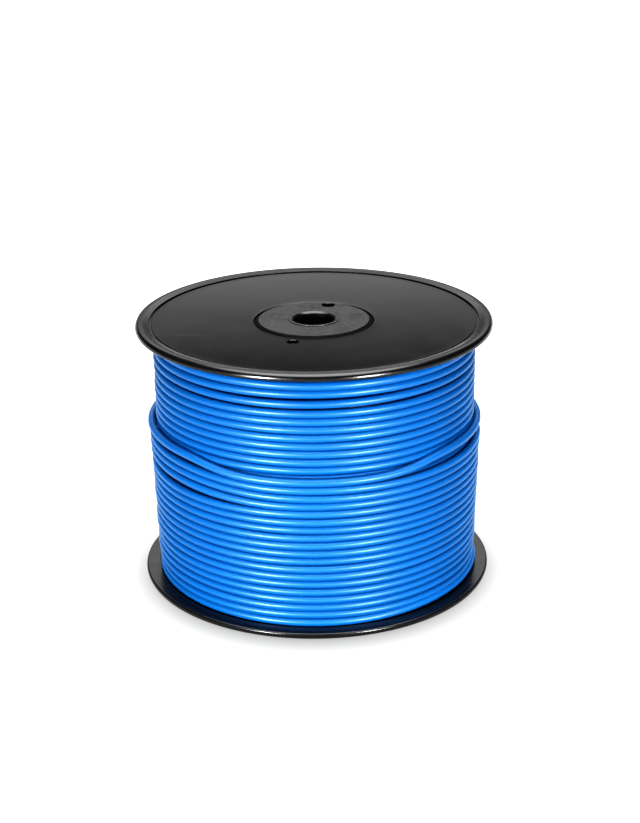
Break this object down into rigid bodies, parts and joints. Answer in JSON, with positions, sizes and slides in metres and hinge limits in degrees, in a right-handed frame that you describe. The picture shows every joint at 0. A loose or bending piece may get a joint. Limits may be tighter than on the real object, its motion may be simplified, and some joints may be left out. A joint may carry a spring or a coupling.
{
  "type": "wire spool",
  "caption": "Flanged plastic spool with a central arbor bore, wound full with blue insulated copper wire.",
  "frame": {"origin": "centre of the rim face that the spool stands on", "axes": "+Z along the spool's axis, upwards; +X to the right and +Y away from the front"},
  "size_m": [0.165, 0.165, 0.1247],
  "materials": {
    "flange_plastic": "satin moulded, glossy rim",
    "barrel_plastic": "satin extruded",
    "hub_plastic": "satin moulded, cloudy",
    "wire_insulation": "glossy extruded PVC",
    "copper_strand": "bright drawn copper"
  },
  "bodies": {
    "root": {"upper_flange": "flange_plastic", "lower_flange": "flange_plastic", "barrel": "barrel_plastic", "upper_hub": "hub_plastic", "lower_hub": "hub_plastic", "arbor_tube": "hub_plastic", "inner_winding": "wire_insulation", "full_layer": "wire_insulation", "last_layer": "wire_insulation", "wire_start": "wire_insulation", "start_strands": "copper_strand", "wire_end": "wire_insulation", "end_strands": "copper_strand"}
  },
  "joints": []
}
